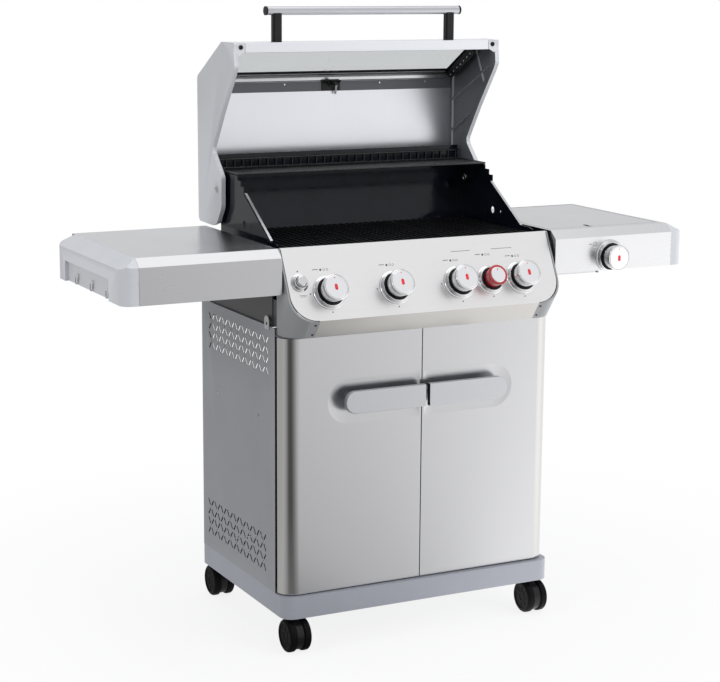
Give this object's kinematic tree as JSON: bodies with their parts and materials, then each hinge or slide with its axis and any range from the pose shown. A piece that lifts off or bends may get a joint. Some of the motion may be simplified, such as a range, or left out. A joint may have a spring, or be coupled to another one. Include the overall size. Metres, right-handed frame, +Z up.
{
  "type": "gas barbecue grill",
  "caption": "Cabinet gas grill with a raised windowed lid, grates and warming rack, tilted knob panel, twin doors, side shelves with a covered side burner, and twin-wheel casters.",
  "frame": {"origin": "on the floor, under the middle of the whole grill's bounding box with the lid open", "axes": "+X to the grill's right as seen from the front, -Y out of the front, +Z up"},
  "size_m": [1.39, 0.5558, 1.3925],
  "materials": {
    "stainless": "horizontal brushed stainless",
    "panel_steel": "horizontal brushed stainless, satin",
    "shelf_steel": "horizontal brushed stainless",
    "lid_steel": "brushed stainless seen from inside the lid",
    "side_paint": "satin grey powder coat",
    "tray_paint": "satin blue-grey powder coat",
    "light_paint": "satin light grey paint on castings",
    "dark_paint": "dark grey powder coat",
    "enamel": "glossy black porcelain enamel",
    "cast_iron": "matte black enamelled iron",
    "rack_wire": "black coated wire",
    "handle_steel": "satin steel",
    "burner_steel": "plain stainless",
    "plated_steel": "zinc-plated sheet",
    "zinc": "plated hardware",
    "chrome": "polished chrome",
    "red_plastic": "glossy deep red",
    "black_plastic": "satin black moulding",
    "wheel_plastic": "satin black tread",
    "window_glass": "clear tempered glass in a black frame"
  },
  "bodies": {
    "cart": {"base_tray": "tray_paint", "left_side_panel": "side_paint", "right_side_panel": "side_paint", "back_panel": "side_paint", "front_rail": "side_paint", "door_hinge_pins": "zinc", "firebox": "enamel", "heat_tamers": "burner_steel", "burners": "burner_steel", "cooking_grates": "cast_iron", "warming_rack": "rack_wire", "gas_manifold": "plated_steel", "support_brackets": "dark_paint", "control_panel": "panel_steel", "panel_end_caps": "light_paint", "knob_bezels": "chrome", "igniter_module": "black_plastic", "left_shelf": "shelf_steel", "right_shelf": "shelf_steel", "shelf_end_caps": "light_paint", "utensil_hooks": "black_plastic", "side_burner": "cast_iron", "side_burner_grate": "cast_iron", "side_burner_bowl": "burner_steel", "lid_hinge_bolts": "zinc"},
    "lid": {"lid_cheeks": "light_paint", "lid_back_panel": "lid_steel", "lid_front_rail": "lid_steel", "lid_window": "window_glass", "thermometer": "chrome", "lid_handle": "handle_steel", "lid_handle_mounts": "black_plastic"},
    "left_door": {"door_left": "stainless", "door_handle_left": "handle_steel"},
    "right_door": {"door_right": "stainless", "door_handle_right": "handle_steel"},
    "burner_lid": {"side_burner_lid": "shelf_steel"},
    "tray": {"grease_tray": "plated_steel", "grease_cup": "plated_steel"},
    "igniter": {"igniter_button": "chrome"},
    "burner_1_stem": {"valve_stem_1": "zinc"},
    "burner_1_knob": {"burner_knob_1": "chrome"},
    "burner_2_stem": {"valve_stem_2": "zinc"},
    "burner_2_knob": {"burner_knob_2": "chrome"},
    "burner_3_stem": {"valve_stem_3": "zinc"},
    "burner_3_knob": {"burner_knob_3": "chrome"},
    "burner_4_stem": {"valve_stem_4": "zinc"},
    "burner_4_knob": {"burner_knob_4": "chrome"},
    "sear_stem": {"sear_stem": "zinc"},
    "sear_knob": {"sear_knob": "red_plastic"},
    "side_stem": {"side_stem": "zinc"},
    "side_knob": {"side_knob": "chrome"},
    "hood_front_left": {"caster_hood_front_left": "black_plastic"},
    "wheels_front_left": {"caster_wheels_front_left": "wheel_plastic"},
    "hood_front_right": {"caster_hood_front_right": "black_plastic"},
    "wheels_front_right": {"caster_wheels_front_right": "wheel_plastic"},
    "hood_back_left": {"caster_hood_back_left": "black_plastic"},
    "wheels_back_left": {"caster_wheels_back_left": "wheel_plastic"},
    "hood_back_right": {"caster_hood_back_right": "black_plastic"},
    "wheels_back_right": {"caster_wheels_back_right": "wheel_plastic"}
  },
  "joints": [
    {"name": "lid_hinge", "type": "hinge", "parent": "cart", "child": "lid", "pos_m": [0, 0.152, 0.983], "axis": [1, 0, 0], "range_deg": [0, 90]},
    {"name": "left_door_hinge", "type": "hinge", "parent": "cart", "child": "left_door", "pos_m": [-0.299, -0.1745, 0.4], "axis": [0, 0, -1], "range_deg": [0, 110]},
    {"name": "right_door_hinge", "type": "hinge", "parent": "cart", "child": "right_door", "pos_m": [0.299, -0.1745, 0.4], "axis": [0, 0, 1], "range_deg": [0, 110]},
    {"name": "burner_lid_hinge", "type": "hinge", "parent": "cart", "child": "burner_lid", "pos_m": [0.5, 0.19, 0.885], "axis": [-1, 0, 0], "range_deg": [0, 100]},
    {"name": "tray_slide", "type": "slide", "parent": "cart", "child": "tray", "axis": [0, 1, 0], "range_m": [0, 0.33]},
    {"name": "igniter_push", "type": "slide", "parent": "cart", "child": "igniter", "axis": [0, 0.891, -0.454], "range_m": [0, 0.004], "stiffness_N_per_m": 500, "springref_m": -0.006},
    {"name": "burner_1_push", "type": "slide", "parent": "cart", "child": "burner_1_stem", "axis": [0, 0.891, -0.454], "range_m": [0, 0.003], "stiffness_N_per_m": 800, "springref_m": -0.008},
    {"name": "burner_1_turn", "type": "hinge", "parent": "burner_1_stem", "child": "burner_1_knob", "pos_m": [-0.2385, -0.23012, 0.79955], "axis": [0, -0.891, 0.454], "range_deg": [0, 180]},
    {"name": "burner_2_push", "type": "slide", "parent": "cart", "child": "burner_2_stem", "axis": [0, 0.891, -0.454], "range_m": [0, 0.003], "stiffness_N_per_m": 800, "springref_m": -0.008},
    {"name": "burner_2_turn", "type": "hinge", "parent": "burner_2_stem", "child": "burner_2_knob", "pos_m": [-0.0795, -0.23012, 0.79955], "axis": [0, -0.891, 0.454], "range_deg": [0, 180]},
    {"name": "burner_3_push", "type": "slide", "parent": "cart", "child": "burner_3_stem", "axis": [0, 0.891, -0.454], "range_m": [0, 0.003], "stiffness_N_per_m": 800, "springref_m": -0.008},
    {"name": "burner_3_turn", "type": "hinge", "parent": "burner_3_stem", "child": "burner_3_knob", "pos_m": [0.0795, -0.23012, 0.79955], "axis": [0, -0.891, 0.454], "range_deg": [0, 180]},
    {"name": "burner_4_push", "type": "slide", "parent": "cart", "child": "burner_4_stem", "axis": [0, 0.891, -0.454], "range_m": [0, 0.003], "stiffness_N_per_m": 800, "springref_m": -0.008},
    {"name": "burner_4_turn", "type": "hinge", "parent": "burner_4_stem", "child": "burner_4_knob", "pos_m": [0.2385, -0.23012, 0.79955], "axis": [0, -0.891, 0.454], "range_deg": [0, 180]},
    {"name": "sear_push", "type": "slide", "parent": "cart", "child": "sear_stem", "axis": [0, 0.891, -0.454], "range_m": [0, 0.003], "stiffness_N_per_m": 800, "springref_m": -0.008},
    {"name": "sear_turn", "type": "hinge", "parent": "sear_stem", "child": "sear_knob", "pos_m": [0.159, -0.23012, 0.79955], "axis": [0, -0.891, 0.454], "range_deg": [0, 180]},
    {"name": "side_push", "type": "slide", "parent": "cart", "child": "side_stem", "axis": [0, 1, 0], "range_m": [0, 0.003], "stiffness_N_per_m": 800, "springref_m": -0.008},
    {"name": "side_turn", "type": "hinge", "parent": "side_stem", "child": "side_knob", "pos_m": [0.487, -0.213, 0.831], "axis": [0, -1, 0], "range_deg": [0, 180]},
    {"name": "swivel_front_left", "type": "hinge", "parent": "cart", "child": "hood_front_left", "pos_m": [-0.304, -0.178, 0.077], "axis": [0, 0, 1], "continuous": true},
    {"name": "roll_front_left", "type": "hinge", "parent": "hood_front_left", "child": "wheels_front_left", "pos_m": [-0.304, -0.2, 0.037], "axis": [1, 0, 0], "continuous": true},
    {"name": "swivel_front_right", "type": "hinge", "parent": "cart", "child": "hood_front_right", "pos_m": [0.304, -0.178, 0.077], "axis": [0, 0, 1], "continuous": true},
    {"name": "roll_front_right", "type": "hinge", "parent": "hood_front_right", "child": "wheels_front_right", "pos_m": [0.304, -0.2, 0.037], "axis": [1, 0, 0], "continuous": true},
    {"name": "swivel_back_left", "type": "hinge", "parent": "cart", "child": "hood_back_left", "pos_m": [-0.304, 0.206, 0.077], "axis": [0, 0, 1], "continuous": true},
    {"name": "roll_back_left", "type": "hinge", "parent": "hood_back_left", "child": "wheels_back_left", "pos_m": [-0.304, 0.228, 0.037], "axis": [1, 0, 0], "continuous": true},
    {"name": "swivel_back_right", "type": "hinge", "parent": "cart", "child": "hood_back_right", "pos_m": [0.304, 0.206, 0.077], "axis": [0, 0, 1], "continuous": true},
    {"name": "roll_back_right", "type": "hinge", "parent": "hood_back_right", "child": "wheels_back_right", "pos_m": [0.304, 0.228, 0.037], "axis": [1, 0, 0], "continuous": true}
  ]
}
